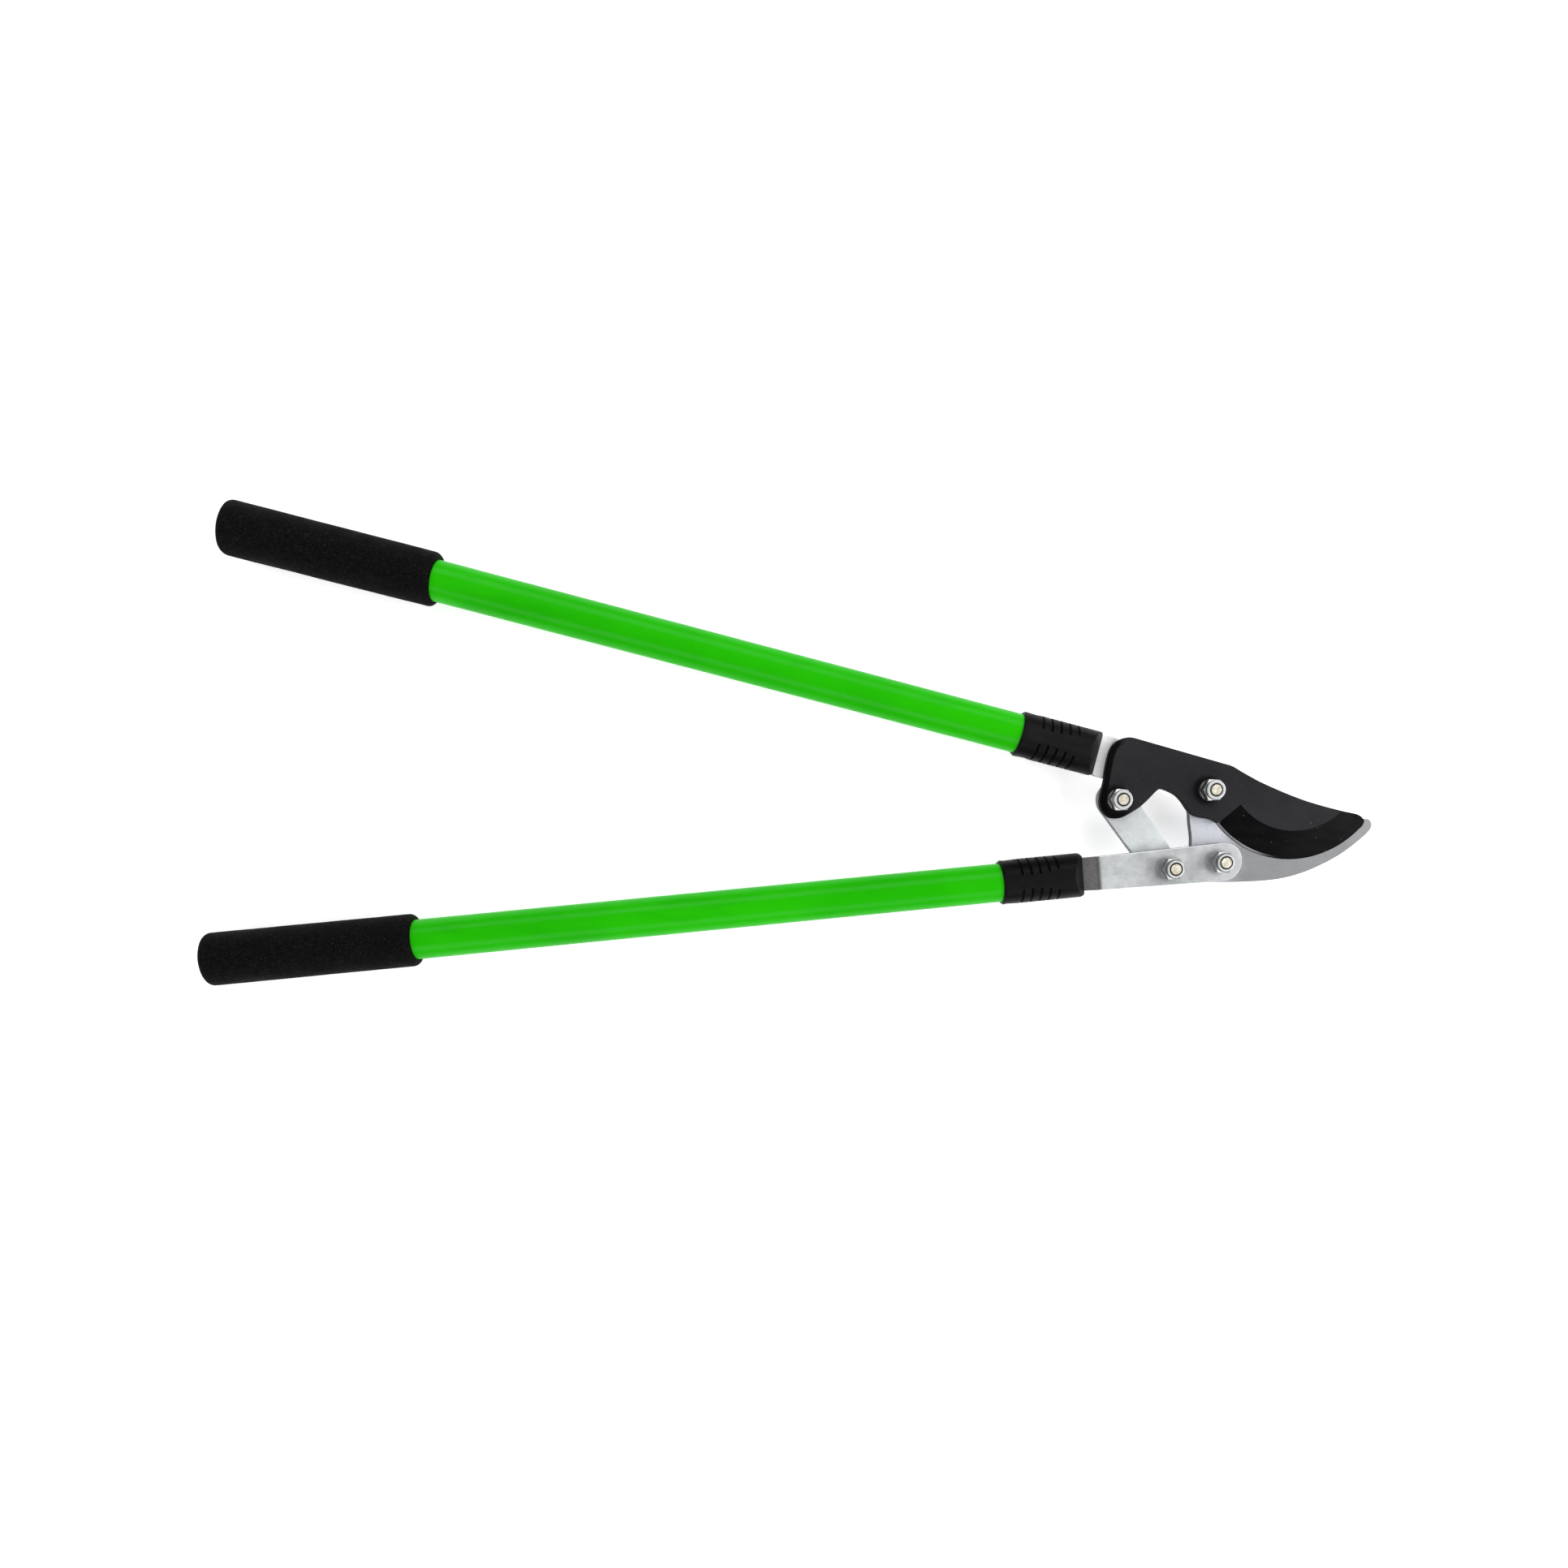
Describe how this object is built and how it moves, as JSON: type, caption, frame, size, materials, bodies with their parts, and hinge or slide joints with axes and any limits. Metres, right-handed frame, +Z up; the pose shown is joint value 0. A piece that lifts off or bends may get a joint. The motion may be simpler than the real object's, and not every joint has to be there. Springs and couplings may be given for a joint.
{
  "type": "bypass loppers",
  "caption": "Long-handled bypass loppers with a compound-action head: curved cutting blade over a hook blade, link plate, tubular handles with foam grips.",
  "frame": {"origin": "main pivot axis on the surface the tool lies on, at the underside of the main pivot's bolt head", "axes": "+Z up, along all four pivot axes; +X along the middle line between the closed handles, towards the blade tip; +Y towards the upper handle, which carries the cutting blade"},
  "size_m": [0.7385, 0.2943, 0.0329],
  "materials": {
    "tube_enamel": "glossy bright green enamel on steel tube",
    "foam_grip": "matt closed-cell foam",
    "moulded_black": "satin moulded plastic",
    "nylon_black": "satin nylon",
    "coated_blade": "dark low-friction coating with a bare ground edge",
    "hook_steel": "matt bare steel",
    "link_steel": "zinc-plated steel",
    "tang_steel": "zinc-plated steel",
    "zinc_steel": "bright zinc plating"
  },
  "bodies": {
    "upper_handle": {"cutting_blade": "coated_blade", "upper_tang": "tang_steel", "upper_tube": "tube_enamel", "upper_grip": "foam_grip", "upper_sleeve": "moulded_black", "upper_end_plug": "moulded_black", "upper_tang_insert": "moulded_black", "upper_cross_pin": "zinc_steel", "main_pivot_bolt": "zinc_steel", "main_pivot_flat_washer": "zinc_steel", "main_pivot_spring_washer": "zinc_steel", "main_pivot_lock_nut": "zinc_steel", "main_pivot_nylon_ring": "nylon_black", "link_pivot_bolt": "zinc_steel", "link_pivot_flat_washer": "zinc_steel", "link_pivot_spring_washer": "zinc_steel", "link_pivot_lock_nut": "zinc_steel", "link_pivot_nylon_ring": "nylon_black"},
    "hook": {"hook_blade": "hook_steel"},
    "link": {"link_plate": "link_steel"},
    "lower_handle": {"lower_tang": "tang_steel", "lower_tube": "tube_enamel", "lower_grip": "foam_grip", "lower_sleeve": "moulded_black", "lower_end_plug": "moulded_black", "lower_tang_insert": "moulded_black", "lower_cross_pin": "zinc_steel", "hook_pivot_bolt": "zinc_steel", "hook_pivot_flat_washer": "zinc_steel", "hook_pivot_spring_washer": "zinc_steel", "hook_pivot_lock_nut": "zinc_steel", "hook_pivot_nylon_ring": "nylon_black", "handle_pivot_bolt": "zinc_steel", "handle_pivot_flat_washer": "zinc_steel", "handle_pivot_spring_washer": "zinc_steel", "handle_pivot_lock_nut": "zinc_steel", "handle_pivot_nylon_ring": "nylon_black"}
  },
  "joints": [
    {"name": "hook_hinge", "type": "hinge", "parent": "upper_handle", "child": "hook", "pos_m": [0, 0, 0.0171], "axis": [0, 0, -1], "range_deg": [0, 40]},
    {"name": "lower_handle_hinge", "type": "hinge", "parent": "hook", "child": "lower_handle", "pos_m": [0.01184, -0.04588, 0.0171], "axis": [0, 0, 1], "range_deg": [0, 70.5]},
    {"name": "link_hinge", "type": "hinge", "parent": "upper_handle", "child": "link", "pos_m": [-0.05987, -0.0109, 0.0171], "axis": [0, 0, -1], "range_deg": [0, 29.8]}
  ],
  "couplings": [
    {"joint": "lower_handle_hinge", "follows": "hook_hinge", "ratio": 1.76},
    {"joint": "link_hinge", "follows": "hook_hinge", "ratio": 0.7423}
  ]
}
